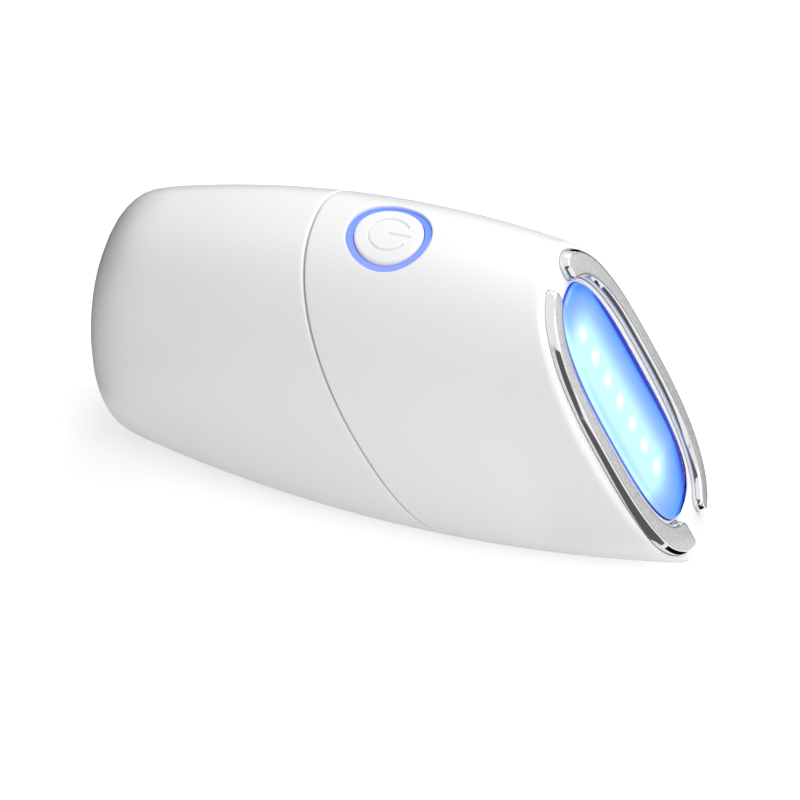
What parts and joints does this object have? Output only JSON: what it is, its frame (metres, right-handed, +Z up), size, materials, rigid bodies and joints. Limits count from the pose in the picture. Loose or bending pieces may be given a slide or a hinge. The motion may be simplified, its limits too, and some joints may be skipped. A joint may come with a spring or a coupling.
{
  "type": "led photon facial device",
  "caption": "Hand-held light device for the face: oval shell, slanted lit window between two metal contact strips, lit push button and a pull-off battery cover.",
  "frame": {"origin": "middle of the flat underside that the device stands on", "axes": "+X from the tail to the slanted lit face, +Z up through the push button's side, +Y to the left of the face"},
  "size_m": [0.0927, 0.0348, 0.0567],
  "materials": {
    "shell_white": "smooth moulded satin gloss",
    "button_white": "smooth moulded gloss",
    "seal_rubber": "matte",
    "window_blue": "polished tinted acrylic, lit",
    "ring_blue": "translucent light guide, lit",
    "strip_chrome": "polished sides, satin top",
    "contact_brass": "bright stamped",
    "screw_steel": "zinc plated",
    "inner_white": "matte moulded",
    "board_white": "solder mask",
    "board_green": "solder mask",
    "part_black": "matte moulded",
    "coil_ferrite": "sintered",
    "can_aluminium": "drawn",
    "ribbon_amber": "polyimide film",
    "cell_jacket": "shrink film",
    "lead_red": "smooth insulation",
    "led_glow": "lit diode"
  },
  "bodies": {
    "front": {"front_housing": "shell_white", "seam_seal": "seal_rubber", "lens": "window_blue", "lens_seal": "seal_rubber", "contact_strip_upper": "strip_chrome", "contact_strip_lower": "strip_chrome", "strip_springs": "contact_brass", "reflector": "inner_white", "led_board": "board_white", "led_chips": "led_glow", "face_screws": "screw_steel", "button_ring": "ring_blue", "switch_body": "part_black", "ring_leds": "led_glow", "main_board": "board_green", "board_screws": "screw_steel", "control_chip": "part_black", "boost_coil": "coil_ferrite", "capacitors": "can_aluminium", "led_ribbon": "ribbon_amber", "battery_holder": "inner_white", "battery_cells": "cell_jacket", "terminal_plus": "contact_brass", "terminal_minus": "contact_brass", "battery_leads": "lead_red", "holder_screws": "screw_steel"},
    "cover": {"rear_cover": "shell_white", "cover_contact": "contact_brass"},
    "button": {"button_cap": "button_white", "switch_plunger": "part_black"}
  },
  "joints": [
    {"name": "cover_pull", "type": "slide", "parent": "front", "child": "cover", "axis": [-1, 0, 0], "range_m": [0, 0.062]},
    {"name": "button_press", "type": "slide", "parent": "front", "child": "button", "axis": [0.1564, 0, -0.9877], "range_m": [0, 0.0006], "stiffness_N_per_m": 3000}
  ]
}
